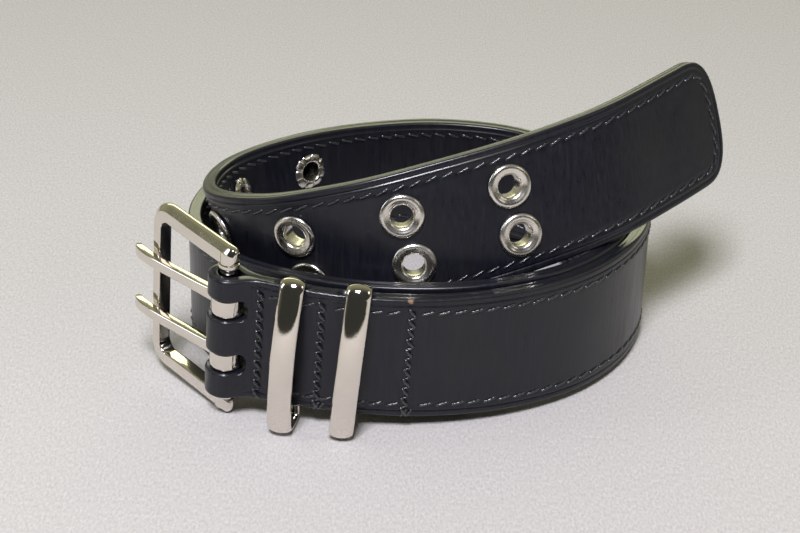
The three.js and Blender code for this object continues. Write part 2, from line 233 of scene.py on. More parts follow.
def bump1(x, at, w):
    return np.exp(-(((np.asarray(x, float) - at) / w) ** 2))


# ---------------------------------------------------------------- the strap
EDGE_R = 0.9
ABS_U = [21.3, 20.9, 20.4, 20.1, 19.85, 19.6, 19.3, 18.7, 18.1, 17.7, 17.34, 17.0, 16.5, 15.5, 14.5, 13.7, 12.9, 12.0, 11.0,
         10.0, 9.1, 8.2, 7.1, 6.3, 5.5, 4.5, 3.5, 2.4, 1.2, 0.0]
UF = np.array([-v for v in ABS_U[:-1]] + ABS_U[::-1])
NU = len(UF)
MID = NU // 2
EDGE = [(EDGE_R - EDGE_R * math.sin(math.radians(a)), T2 - EDGE_R + EDGE_R * math.cos(math.radians(a))) for a in (22.5, 45, 67.5, 90)]
EDGE += [(-0.02, 0.4), (0.16, 0.0), (-0.02, -0.4)] + [(d, -n) for d, n in EDGE[::-1]]
NE = len(EDGE)
M = 2 * NU + 2 * NE


def relief(d):
    """How far the face stands in or out at distance d from the strap's edge: crease and stitch channel."""
    return -0.26 * bump1(d, 2.35, 0.24) + 0.05 * bump1(d, 2.95, 0.3) - 0.14 * bump1(d, STITCH_IN, 0.5) + 0.03 * bump1(d, 6.4, 0.8)


def pocket(s):
    """1 where a keeper goes through the strap's edge."""
    return sum(smooth(5.6 - np.abs(np.asarray(s, float) - at), 0, 1.2) for _, at, _, _ in KEEPERS)


def stations():
    out = [SPLIT]
    while True:
        s = out[-1]
        h = 2.4
        if min(abs(s + 1 - e) for e in EYELET_S) < 7:
            h = 1.0
        elif min(abs(s + 0.5 - e) for e in CROSS_ROWS) < 3:
            h = 0.6
        elif s < 62:
            h = 1.0
        if s + h * 1.5 > L - TIP_LENGTH:
            break
        out.append(s + h)
    out.append(L - TIP_LENGTH)
    return np.array(out)


def strap_mesh():
    st = stations()
    ns = len(st)
    S = np.repeat(st[:, None], M, 1)
    U = np.zeros((ns, M))
    D = np.zeros((ns, M))
    F = np.arange(NU)
    Bk = NU + NE + (NU - 1 - np.arange(NU))
    top = NU + np.arange(NE)
    bot = 2 * NU + NE + np.arange(NE)
    dist = HALF - np.abs(UF)
    U[:, F] = UF
    U[:, Bk] = UF
    cross = sum(bump1(st, c, 0.9) for c in CROSS_ROWS)[:, None]
    swell = 0.22 * sum(bump1(st, at, 4.5) for _, at, _, _ in KEEPERS)[:, None] * smooth(dist, 0.5, 6)[None]
    rough = (0.10 * np.sin(st * 1.7)[:, None] * np.sin(UF * 0.9 + st[:, None] * 0.35) + 0.06 * np.sin(st[:, None] * 3.1 + UF * 2.3)) * smooth(58 - st, 0, 30)[:, None] * bump1(UF, 21, 4)[None]
    D[:, F] = T2 + relief(dist)[None] - 0.22 * cross * smooth(dist, 0.5, 2)[None] + swell + rough
    D[:, Bk] = -T2 - relief(dist)[None] + 0.2 * cross * smooth(dist, 0.5, 2)[None] - 0.5 * swell
    pk = pocket(st)
    jag = smooth(58 - st, 0, 20)
    for k, (d, n) in enumerate(EDGE):
        dip = {3: 0.1, 4: 1.7, 5: 2.2, 6: 1.7, 7: 0.1}.get(k, 0) * pk
        rag = jag * (0.10 * np.sin(st * 2.3 + k * 1.9) + 0.07 * np.sin(st * 5.1 + k * 0.7))
        U[:, top[k]] = HALF - d - dip - np.abs(rag)
        U[:, bot[NE - 1 - k]] = -(HALF - d - dip)
        D[:, top[k]] = n + 0.5 * rag
        D[:, bot[NE - 1 - k]] = n
    ids = np.arange(ns * M).reshape(ns, M)
    faces = []
    gone = np.zeros((ns - 1, NU - 1), bool)
    sc, uc = (st[1:] + st[:-1]) / 2, (UF[1:] + UF[:-1]) / 2
    for es in EYELET_S:
        for eu in EYELET_U.values():
            hit = np.hypot(sc[:, None] - es, uc[None] - eu) < HOLE_R
            gone |= hit
            touch = np.zeros((ns, NU), int)
            total = np.zeros((ns, NU), int)
            for di in (0, 1):
                for dj in (0, 1):
                    touch[di:ns - 1 + di, dj:NU - 1 + dj] += hit
                    total[di:ns - 1 + di, dj:NU - 1 + dj] += 1
            rim = (touch > 0) & (touch < total)
            for i, j in zip(*np.nonzero(rim)):
                v = np.array([st[i] - es, UF[j] - eu])
                v *= HOLE_R / np.linalg.norm(v)
                for c in (F[j], Bk[j]):
                    S[i, c], U[i, c] = es + v[0], eu + v[1]
    for i in range(ns - 1):
        for k in range(M):
            l = (k + 1) % M
            if k < NU - 1 and gone[i, k]:
                continue
            if NU + NE <= k < 2 * NU + NE - 1 and gone[i, 2 * NU + NE - 2 - k]:
                continue
            faces.append((ids[i, k], ids[i, l], ids[i + 1, l], ids[i + 1, k]))
    for i, j in zip(*np.nonzero(gone)):
        for (a, b), (ci, cj) in (((( i, j), (i + 1, j)), (i, j - 1)), (((i, j + 1), (i + 1, j + 1)), (i, j + 1)),
                                 (((i, j), (i, j + 1)), (i - 1, j)), (((i + 1, j), (i + 1, j + 1)), (i + 1, j))):
            if not gone[ci, cj]:
                faces.append((ids[a[0], F[a[1]]], ids[b[0], F[b[1]]], ids[b[0], Bk[b[1]]], ids[a[0], Bk[a[1]]]))
    pts = [on_strap(S, D, U).reshape(-1, 3)]
    count = ns * M

    # the rounded tip: U-shaped lines that keep their distance from the edge
    K = 44
    th = np.linspace(-math.pi / 2, math.pi / 2, 1601)
    ox = TIP_LENGTH * np.abs(np.cos(th)) ** (2 / TIP_POWER)
    ou = HALF * np.sign(np.sin(th)) * np.abs(np.sin(th)) ** (2 / TIP_POWER)
    run = np.concatenate([[0], np.cumsum(np.hypot(np.diff(ox), np.diff(ou)))])
    at = np.linspace(run[-1], 0, K + 1)
    O = np.stack([np.interp(at, run, ox), np.interp(at, run, ou)], 1)
    near = np.stack([np.interp(np.clip(at - 0.6, 0, run[-1]), run, ox), np.interp(np.clip(at - 0.6, 0, run[-1]), run, ou)], 1) - \
        np.stack([np.interp(np.clip(at + 0.6, 0, run[-1]), run, ox), np.interp(np.clip(at + 0.6, 0, run[-1]), run, ou)], 1)
    near /= np.linalg.norm(near, axis=1, keepdims=True)
    inn = np.stack([near[:, 1], -near[:, 0]], 1)
    inn[0], inn[-1] = (0, -1), (0, 1)
    sc0 = L - TIP_LENGTH

    def tip(d):
        d = np.asarray(d, float)[None, :, None]
        shallow = O[:, None] + inn[:, None] * np.minimum(d, 6.7)
        f = np.clip((d - 6.7) / (HALF - 6.7), 0, 1)
        return shallow * (1 - f)

    dd = HALF - np.array(ABS_U[:-1])
    face = tip(dd)
    edge = tip([e[0] for e in EDGE])
    nd = len(dd)
    fid = np.zeros((K + 1, nd), int)
    bid = np.zeros((K + 1, nd), int)
    eid = np.zeros((K + 1, NE), int)
    for side, idm, sign in (("f", fid, 1), ("b", bid, -1)):
        row = F if side == "f" else Bk
        idm[0] = [ids[-1, row[NU - 1 - i]] for i in range(nd)]
        idm[K] = [ids[-1, row[i]] for i in range(nd)]
        inner = face[1:K]
        pts.append(on_strap(sc0 + inner[..., 0], sign * (T2 + relief(dd))[None], inner[..., 1]).reshape(-1, 3))
        idm[1:K] = count + np.arange((K - 1) * nd).reshape(K - 1, nd)
        count += (K - 1) * nd
    eid[0] = ids[-1, top]
    eid[K] = ids[-1, bot[::-1]]
    inner = edge[1:K]
    pts.append(on_strap(sc0 + inner[..., 0], np.array([e[1] for e in EDGE])[None], inner[..., 1]).reshape(-1, 3))
    eid[1:K] = count + np.arange((K - 1) * NE).reshape(K - 1, NE)
    count += (K - 1) * NE
    for a in range(K):
        for idm, row in ((fid, F), (bid, Bk)):
            for i in range(nd - 1):
                faces.append((idm[a, i], idm[a, i + 1], idm[a + 1, i + 1], idm[a + 1, i]))
            faces.append((idm[a, nd - 1], ids[-1, row[MID]], idm[a + 1, nd - 1]))
        ring = np.concatenate([fid[:, :1], eid, bid[:, :1]], 1)
        for k in range(NE + 1):
            faces.append((ring[a, k], ring[a, k + 1], ring[a + 1, k + 1], ring[a + 1, k]))

    # the fold round the bar: outer and inner curves in (along, out) of the strap, the bar at the origin
    def hermite(p0, p1, m0, m1, t):
        t = np.asarray(t)[:, None]
        return (2 * t**3 - 3 * t**2 + 1) * p0 + (t**3 - 2 * t**2 + t) * m0 + (-2 * t**3 + 3 * t**2) * p1 + (t**3 - t**2) * m1

    n1, n2 = 12, 34
    e0 = SPLIT - BAR_AT
    ra, rb = math.radians(70), math.radians(56)
    rin = FOLD_IN
    o1 = np.array([FOLD_R * math.cos(ra), FOLD_R * math.sin(ra)])
    i1 = np.array([rin * math.cos(rb), rin * math.sin(rb)])
    f = np.linspace(0, 1, n1 + 1)
    out = hermite(np.array([e0, T2]), o1, np.array([-9.0, 0]), np.array([-math.sin(ra), math.cos(ra)]) * 9, f)
    ins = hermite(np.array([FOLD_IN * 1.8, 0.02]), i1, np.array([-5.0, 1.0]), np.array([-math.sin(rb), math.cos(rb)]) * 5, np.clip((f - 0.45) / 0.55, 0, 1))
    near = f < 0.45
    ins[near] = np.stack([e0 + (FOLD_IN * 1.8 - e0) * f[near] / 0.45, 0.02 + 0 * f[near]], 1)
    ins[0] = (e0, 0)
    aa = np.linspace(ra, 2 * math.pi - ra, n2 + 1)[1:-1]
    bb = np.linspace(rb, 2 * math.pi - rb, n2 + 1)[1:-1]
    out = np.vstack([out, np.stack([FOLD_R * np.cos(aa), FOLD_R * np.sin(aa)], 1), out[::-1] * [1, -1]])
    ins = np.vstack([ins, np.stack([rin * np.cos(bb), rin * np.sin(bb)], 1), ins[::-1] * [1, -1]])
    nt = len(out)
    path = np.concatenate([[0], np.cumsum(np.linalg.norm(np.diff(out, axis=0), axis=1))])

    def fold_at(t, u, depth):
        """t: path length on the outside; depth 0 outside, 1 inside."""
        t, u, depth = np.broadcast_arrays(*(np.asarray(v, float) for v in (t, u, depth)))
        o = np.stack([np.interp(t, path, out[:, k]) for k in (0, 1)], -1)
        q = np.stack([np.interp(t, path, ins[:, k]) for k in (0, 1)], -1)
        p = o * (1 - depth[..., None]) + q * depth[..., None]
        return in_fold(p[..., 0], p[..., 1], u)

    UI = UF * ((HALF - 0.16) / UF[-1])
    slot0 = np.interp(-(SLOT_REACH), -out[: n1 + 1, 0], path[: n1 + 1])
    slot_mid, slot_len = path[-1] / 2, path[-1] / 2 - slot0

    def slot_sdf(t, u, pu):
        r = 2.6
        qx = np.abs(t - slot_mid) - (slot_len - r)
        qy = np.abs(u - pu) - (SLOT_HALF - r)
        return np.hypot(np.maximum(qx, 0), np.maximum(qy, 0)) + np.minimum(np.maximum(qx, qy), 0) - r

    TO = np.repeat(path[:, None], NU, 1)
    UO = np.repeat(UF[None], nt, 0)
    TI, UI2 = TO.copy(), np.repeat(UI[None], nt, 0)
    gone = np.zeros((nt - 1, NU - 1), bool)
    tc, uc = (path[1:] + path[:-1]) / 2, (UF[1:] + UF[:-1]) / 2
    rims = {}
    for pu in PRONG_U:
        hit = slot_sdf(tc[:, None], uc[None], pu) < 0.1
        gone |= hit
        touch = np.zeros((nt, NU), int)
        for di in (0, 1):
            for dj in (0, 1):
                touch[di:nt - 1 + di, dj:NU - 1 + dj] += hit
        for i, j in zip(*np.nonzero((touch > 0) & (touch < 4))):
            rims[(i, j)] = pu

    def snap(t, u, pu, level):
        for _ in range(6):
            h = 1e-3
            v = slot_sdf(t, u, pu)
            g = np.array([slot_sdf(t + h, u, pu) - v, slot_sdf(t, u + h, pu) - v]) / h
            g /= max(np.linalg.norm(g), 1e-6)
            t, u = t - g[0] * (v - level), u - g[1] * (v - level)
        return t, u

    for (i, j), pu in rims.items():
        TO[i, j], UO[i, j] = snap(TO[i, j], UO[i, j], pu, 0.45)
        TI[i, j], UI2[i, j] = snap(TI[i, j], UI2[i, j], pu, 0.0)
    oid = np.zeros((nt, NU), int)
    iid = np.zeros((nt, NU), int)
    teid = np.zeros((nt, 5), int)
    beid = np.zeros((nt, 5), int)
    oid[0], oid[-1] = ids[0, F], ids[0, Bk]
    teid[0], teid[-1] = ids[0, top[:5]], ids[0, top[::-1][:5]]
    beid[0], beid[-1] = ids[0, bot[::-1][:5]], ids[0, bot[:5]]
    crotch = np.zeros(NU, int)
    crotch[0], crotch[-1] = ids[0, bot[5]], ids[0, top[5]]
    pts.append(fold_at(0.0, UI[1:-1], 1.0))
    crotch[1:-1] = count + np.arange(NU - 2)
    count += NU - 2
    iid[0] = iid[-1] = crotch
    # the strap's crease and stitch-channel relief runs on into both ends of the fold, fading out within 5 mm, and a
    # faint ripple lies over the rest
    dist = HALF - np.abs(UO)
    dep = -relief(dist) / PLY * smooth(np.minimum(TO, path[-1] - TO), -1, 1) * smooth(5 - np.minimum(TO, path[-1] - TO), 0, 4)
    dep = dep + 0.03 * (np.sin(TO * 1.3 + UO * 1.1) * np.sin(UO * 0.8)) * smooth(TO, 0, 5) * smooth(path[-1] - TO, 0, 5)
    pts.append(fold_at(TO[1:-1], UO[1:-1], dep[1:-1]).reshape(-1, 3))
    oid[1:-1] = count + np.arange((nt - 2) * NU).reshape(nt - 2, NU)
    count += (nt - 2) * NU
    pts.append(fold_at(TI[1:-1], UI2[1:-1], 1.0).reshape(-1, 3))
    iid[1:-1] = count + np.arange((nt - 2) * NU).reshape(nt - 2, NU)
    count += (nt - 2) * NU
    for idm, sgn in ((teid, 1), (beid, -1)):
        d = np.array([e[0] for e in EDGE[:5]])
        n = np.array([(T2 - e[1]) / PLY for e in EDGE[:5]])
        wob = 0.10 * np.sin(path[1:-1] * 1.9)[:, None] * np.sin(np.arange(5) * 1.7)[None] if sgn > 0 else 0
        pts.append(fold_at(path[1:-1, None], sgn * (HALF - d)[None] - np.abs(wob), n[None]).reshape(-1, 3))
        idm[1:-1] = count + np.arange((nt - 2) * 5).reshape(nt - 2, 5)
        count += (nt - 2) * 5
    for i in range(nt - 1):
        for j in range(NU - 1):
            if not gone[i, j]:
                faces.append((oid[i, j], oid[i, j + 1], oid[i + 1, j + 1], oid[i + 1, j]))
                faces.append((iid[i, j], iid[i, j + 1], iid[i + 1, j + 1], iid[i + 1, j]))
        for idm, j in ((teid, NU - 1), (beid, 0)):
            chain = [np.array([r[i], r[i + 1]]) for r in (oid[:, j], *idm.T, iid[:, j])]
            for a, b in zip(chain, chain[1:]):
                faces.append((a[0], b[0], b[1], a[1]))
    mid_ids = {}
    extra = []
    for (i, j), pu in rims.items():
        t1, u1 = snap(TO[i, j], UO[i, j], pu, 0.12)
        t2, u2 = snap(TO[i, j], UO[i, j], pu, 0.0)
        mid_ids[(i, j)] = (count, count + 1)
        extra += [fold_at(t1, u1, 0.06), fold_at(t2, u2, 0.22)]
        count += 2
    pts.append(np.array(extra).reshape(-1, 3))
    for i, j in zip(*np.nonzero(gone)):
        for (a, b), (ci, cj) in ((((i, j), (i + 1, j)), (i, j - 1)), (((i, j + 1), (i + 1, j + 1)), (i, j + 1)),
                                 (((i, j), (i, j + 1)), (i - 1, j)), (((i + 1, j), (i + 1, j + 1)), (i + 1, j))):
            if not gone[ci, cj]:
                ca = [oid[a], *mid_ids[a], iid[a]]
                cb = [oid[b], *mid_ids[b], iid[b]]
                for k in range(3):
                    faces.append((ca[k], cb[k], cb[k + 1], ca[k + 1]))
    return make("strap_leather", np.vstack(pts), faces, sharp=50)


# ---------------------------------------------------------------- thread
def thread(name, lines, radius, twist=1.5, sides=7, step=0.27, lobes=0.2):
    """Each line is a run of points in mm with its radius: a twisted thread tube, thin at its ends."""
    parts = []
    for pts, r in lines:
        pts = np.asarray(pts, float)
        seg = np.linalg.norm(np.diff(pts, axis=0), axis=1)
        run = np.concatenate([[0], np.cumsum(seg)])
        k = max(5, int(run[-1] / step))
        at = np.linspace(0, run[-1], k)
        c = np.stack([np.interp(at, run, pts[:, i]) for i in range(3)], 1)
        t = np.gradient(c, axis=0)
        t /= np.linalg.norm(t, axis=1, keepdims=True)
        ref = np.array([0, 0, 1.0]) if abs(t[len(t) // 2, 2]) < 0.9 else np.array([1.0, 0, 0])
        x = np.cross(t, ref)
        x /= np.linalg.norm(x, axis=1, keepdims=True)
        y = np.cross(t, x)
        ph = np.linspace(0, 2 * math.pi, sides, endpoint=False)
        end = np.minimum(1, np.sqrt(np.clip(np.minimum(at, run[-1] - at) / 0.5, 0.05, 1)))
        rr = r * end[:, None] * (1 + lobes * np.cos(2 * (ph[None] - 2 * math.pi * at[:, None] / twist / 2)))
        ring = c[:, None] + x[:, None] * (rr * np.cos(ph))[..., None] + y[:, None] * (rr * np.sin(ph))[..., None]
        parts.append(loft(ring))
    v, f = join(parts)
    return make(name, v, f)


def tip_line(d):
    """The line at distance d from the edge: along the top, round the tip, back along the bottom. (s, u) points."""
    th = np.linspace(-math.pi / 2, math.pi / 2, 801)
    ox = TIP_LENGTH * np.abs(np.cos(th)) ** (2 / TIP_POWER)
    ou = HALF * np.sign(np.sin(th)) * np.abs(np.sin(th)) ** (2 / TIP_POWER)
    tx, tu = np.gradient(ox), np.gradient(ou)
    ln = np.hypot(tx, tu)
    tx, tu = tx / ln, tu / ln
    nx, nu = -tu, tx
    nx[0], nu[0], nx[-1], nu[-1] = 0, 1, 0, -1
    tip = np.stack([L - TIP_LENGTH + ox + nx * d, ou + nu * d], 1)[::-1]
    s = np.arange(10.4, L - TIP_LENGTH - 1, 4.0)
    return np.vstack([np.stack([s, np.full_like(s, HALF - d)], 1), tip, np.stack([s[::-1], np.full_like(s, -(HALF - d))], 1)])


def edge_stitches(name, side):
    line = tip_line(STITCH_IN)
    run = np.concatenate([[0], np.cumsum(np.linalg.norm(np.diff(line, axis=0), axis=1))])
    pitch = 5.25
    lines = []
    k = 0
    while (k + 1) * pitch < run[-1]:
        a = k * pitch + 0.35
        k += 1
        f = np.linspace(0, 1, 7)
        at = a + f * (pitch - 0.75)
        s, u = (np.interp(at, run, line[:, i]) for i in (0, 1))
        mid_s, mid_u = np.interp(a + pitch / 2, run, line[:, 0]), np.interp(a + pitch / 2, run, line[:, 1])
        # which way the line runs here, and a slant that is the same seen from the front all along
        t = np.array([s[-1] - s[0], u[-1] - u[0]])
        t /= np.linalg.norm(t)
        nrm = np.array([-t[1], t[0]])
        slant = (f - 0.5) * 1.25 * rng.uniform(0.75, 1.2)
        s, u = s + nrm[0] * slant, u + nrm[1] * slant
        if any(abs(mid_s - c) < 1.6 for c in CROSS_ROWS):
            continue
        if any(abs(mid_s - at_) < 3.0 and abs(mid_u) > HALF + 1 for _, at_, _, _ in KEEPERS):
            continue
        lift = 0.30 * np.sin(np.pi * f) ** 0.6 - 0.28
        n = T2 + lift
        lines.append((on_strap(s, side * n, u), 0.46))
    return thread(name, lines, 0.46)


def cross_stitches(name, side, at, reach=1.0):
    pitch = 3.75
    lines = []
    us = np.arange(HALF - 3.1, -HALF + 2.2, -pitch)
    for i, u0 in enumerate(us):
        f = np.linspace(0, 1, 6)
        w = 1.25 * reach * rng.uniform(0.9, 1.1)
        lift = -0.02 + 0.5 * np.sin(np.pi * f) ** 0.7
        s = at - w + 2 * w * f
        u = u0 - (pitch - 0.55) * f + rng.uniform(-0.12, 0.12)
        lines.append((on_strap(s, side * (T2 - 0.16 + lift), u), 0.56))
        if i < len(us) - 1:
            s2 = at + w - 1.9 * w * f
            u2 = u0 - (pitch - 0.55) - 0.15 - (0.75) * f
            lines.append((on_strap(s2, side * (T2 - 0.3 + 0.22 * np.sin(np.pi * f)), u2), 0.36))
    # the last turns go over the lower edge: two of them, made with the front stitches of the rows past the first
    for sg in (1, -1):
        f = np.linspace(0, 1, 12)
        ang = f * math.pi
        uu = HALF + 0.15 - 3.2 * np.abs(np.cos(ang)) ** 1.6
        nn = (T2 + 0.1) * np.cos(ang)
        nn = np.sign(nn) * np.minimum(np.abs(nn) * 2.2, T2 + 0.12)
        if side > 0 and sg < 0 and at > 10:
            for shift in (0.0, 1.5):
                lines.append((on_strap(at - 2.6 * np.minimum(f * 2, 1) + 1.4 + shift, nn, sg * uu), 0.5))
    return thread(name, lines, 0.48)


# ---------------------------------------------------------------- eyelets
FRONT = [(7.0, 0.0), (7.22, 0.1), (7.3, 0.32), (7.22, 0.6), (6.98, 0.88), (6.6, 1.1), (6.15, 1.2), (5.7, 1.16), (5.3, 1.02), (4.95, 0.86),
         (4.6, 0.78), (4.3, 0.66), (4.0, 0.42), (3.78, 0.05), (3.66, -0.5), (3.62, -1.4), (3.6, -2.35)]
BACK = [(3.6, -1.6), (3.6, -0.6), (3.6, 0.1), (3.68, 0.5), (3.9, 0.86), (4.3, 1.06), (4.8, 1.02), (5.4, 0.84), (6.0, 0.6), (6.45, 0.34), (6.62, 0.1)]


def eyelet(k, row):
    s0, u0 = EYELET_S[k], EYELET_U[row]
    # the strap bends under the flange: the whole eyelet stays round and flat, square to the strap at its middle
    P, T, N, W = (v[0] for v in frames(np.array([s0])))
    C = P + W * u0
    sides = 88
    ph = np.linspace(0, 2 * math.pi, sides, endpoint=False) + rng.uniform(0, 1)
    petals = 9
    m = np.abs(np.sin(petals * (ph - ph[0]) / 2))
    split = 1 - np.exp(-((m / 0.22) ** 2))
    ragged = 0.10 * rng.normal(size=sides)
    rows = []
    for r, n in FRONT:
        rows.append((np.full(sides, r), np.full(sides, T2 + n + 0.25)))
    for r, n in BACK:
        g = smooth(r, 4.0, 4.9)
        h = n * (1 - 0.75 * g * (1 - split)) + 0.02 * g * ragged
        rr = r - 0.75 * g * smooth(r, 5.2, 6.6) * (1 - split) + 0.14 * g * np.sin(ph * 4 + k) + g * ragged * smooth(r, 5.6, 6.6)
        rows.append((rr, -(T2 + h + 0.22)))
    # back underside and the barrel outside close the loop
    rows.append((np.full(sides, 6.3), np.full(sides, -(T2 + 0.2))))
    rows.append((np.full(sides, 4.3), np.full(sides, -(T2 + 0.2))))
    rows.append((np.full(sides, 4.25), np.full(sides, T2 + 0.2)))
    ring = []
    for r, n in rows:
        ring.append(C + (r * np.cos(ph))[:, None] * T + (r * np.sin(ph))[:, None] * W + n[:, None] * N)
    v, f = loft(np.array(ring), loop_along=True)
    return make(f"eyelet_{k + 1}_{row}_metal", v, f, sharp=55)


# ---------------------------------------------------------------- keepers
def keeper(name, at, middle, tilt):
    path = KEEPER_SHAPE.copy()
    for _ in range(1):
        q = np.roll(path, -1, 0)
        path = np.stack([path * 0.75 + q * 0.25, path * 0.25 + q * 0.75], 1).reshape(-1, 3)
    # a smooth closed curve through the cut corners
    fine = []
    m = len(path)
    for i in range(m):
        a, b, c, d = path[i - 1], path[i], path[(i + 1) % m], path[(i + 2) % m]
        k = max(3, int(np.linalg.norm(c[:2] - b[:2]) / 0.8))
        k = min(k, 9)
        ta = np.linalg.norm(b[:2] - a[:2]) ** 0.5
        tb = np.linalg.norm(c[:2] - b[:2]) ** 0.5
        tcc = np.linalg.norm(d[:2] - c[:2]) ** 0.5
        m1 = (c - b) / tb - (c - a) / (ta + tb) + (b - a) / ta
        m2 = (c - b) / tb - (d - b) / (tb + tcc) + (d - c) / tcc
        m1, m2 = m1 * tb, m2 * tb
        for t in np.linspace(0, 1, k, endpoint=False):
            fine.append((2 * t**3 - 3 * t**2 + 1) * b + (t**3 - 2 * t**2 + t) * m1 + (-2 * t**3 + 3 * t**2) * c + (t**3 - t**2) * m2)
    path = np.array(fine)
    w = KEEPER_W / 2
    slope = math.tan(math.radians(tilt))
    d = np.roll(path, -1, 0) - np.roll(path, 1, 0)
    d = d[:, :2] / np.linalg.norm(d[:, :2], axis=1, keepdims=True)
    ang = np.radians(np.linspace(0, 180, 23))
    dome = [(-w * math.cos(a), 0.13 + 0.87 * math.sin(a)) for a in ang]
    dome = [(-w + 0.35, 0.0), (-w + 0.08, 0.05)] + dome + [(w - 0.08, 0.05), (w - 0.35, 0.0), (w * 0.45, -0.03), (0, -0.04), (-w * 0.45, -0.03)]
    P, T, N, W = (v[0] for v in frames(np.array([at])))
    rings = []
    for (n, u, th), (dn, du) in zip(path, d):
        rings.append([P + N * (n - du * k * th) + W * (middle + u + dn * k * th) + T * (a + slope * u) for a, k in dome])
    v, f = loft(np.array(rings), loop_along=True)
    return make(name + "_metal", v, f, sharp=40)


# ---------------------------------------------------------------- buckle
def buckle():
    top, low = FRAME_UP + FRAME_HALF, FRAME_UP - FRAME_HALF
    a1 = FRAME_LEN - FAR_W
    ci = 4.0
    st = []  # outer point, inner point, size factor

    def side(sign, aa):
        edge = top if sign > 0 else low
        for a in aa:
            x = a + HEEL
            cut = 2.5 - math.sqrt(max(0, 2.5**2 - max(0, 2.5 - x) ** 2)) if x < 2.5 else 0
            # the side bar thins a little towards the far bar
            h = SIDE_H - 0.5 * float(smooth(a, 18, 33))
            st.append(((a, edge - sign * cut), (a, edge - sign * (h - cut)), 1 - 0.32 * cut))

    ends = [-3.58, -3.5, -3.3, -3.0, -2.5, -1.9, -1.1]
    side(1, ends + list(np.linspace(0.5, FRAME_LEN - CORNER - 1.5, 14)))
    for th in np.radians(np.linspace(90, 0, 13)):
        st.append(((FRAME_LEN - CORNER + CORNER * math.cos(th), top - CORNER + CORNER * math.sin(th)),
                   (a1 - ci + ci * math.cos(th), top - SIDE_H + 0.5 - ci + ci * math.sin(th)), 1))
    for u in np.linspace(top - CORNER - 4.5, low + CORNER + 4.5, 47):
        st.append(((FRAME_LEN, u), (a1, u), 1))
    for th in np.radians(np.linspace(0, -90, 13)):
        st.append(((FRAME_LEN - CORNER + CORNER * math.cos(th), low + CORNER + CORNER * math.sin(th)),
                   (a1 - ci + ci * math.cos(th), low + SIDE_H - 0.5 + ci + ci * math.sin(th)), 1))
    side(-1, (ends + list(np.linspace(0.5, FRAME_LEN - CORNER - 1.5, 14)))[::-1])
    # section: across from the outside (0) to the inside (1), and out of the plane (mm)
    sec = rounded([(0.0, -0.35), (0.03, 0.75), (0.36, 2.2), (0.97, 2.2), (1.0, 1.9), (1.0, -1.7), (0.93, -2.2), (0.28, -2.2), (0.05, -1.4)],
                  [0.35, 0.4, 0.22, 0.25, 0.2, 0.3, 0.3, 0.5, 0.5], 3)
    # rounded() works in mm, so the section is made at 6 mm across and scaled
    pts6 = [(x * 6, y) for x, y in [(0.0, -0.35), (0.035, 0.75), (0.34, 2.2), (0.97, 2.2), (1.0, 1.9), (1.0, -1.7), (0.93, -2.2), (0.28, -2.2), (0.05, -1.4)]]
    sec = rounded(pts6, [0.6, 0.5, 0.25, 0.22, 0.2, 0.35, 0.35, 0.7, 0.6], 3)
    rings = []
    for (oa, ou), (ia, iu), k in st:
        v = sec[:, 0] / 6
        b = sec[:, 1] * k * FRAME_T / 4.4
        # shallow seats worn by the prongs in the far bar's front
        if oa > FRAME_LEN - 0.01:
            wear = sum(bump1(ou, pu, 1.9) for pu in PRONG_U)
            b = b - 0.3 * wear * smooth(b, 1.0, 2.2)
        rings.append(in_frame(oa + (ia - oa) * v, b, ou + (iu - ou) * v))
    parts = [loft(np.array(rings))]
    ph = np.linspace(0, 2 * math.pi, 36, endpoint=False)
    bar = [in_frame(BAR_R * np.cos(ph), BAR_R * np.sin(ph), u) for u in np.concatenate([[low + 2.2], np.linspace(low + 3, top - 3, 24), [top - 2.2]])]
    parts.append(loft(np.array(bar)))
    # the bar's swaged ends show as short posts against the side bars
    for sg, e in ((1, top), (-1, low)):
        u1 = e - sg * SIDE_H
        prof = [(2.9, 0.6), (3.35, 0.3), (3.45, -0.4), (3.3, -1.2), (2.95, -1.8), (2.5, -1.9)]
        post = [in_frame(r * np.cos(ph), r * np.sin(ph), u1 + sg * du) for r, du in prof]
        parts.append(loft(np.array(post)))
    v, f = join(parts)
    return make("buckle_frame_metal", v, f, sharp=38)


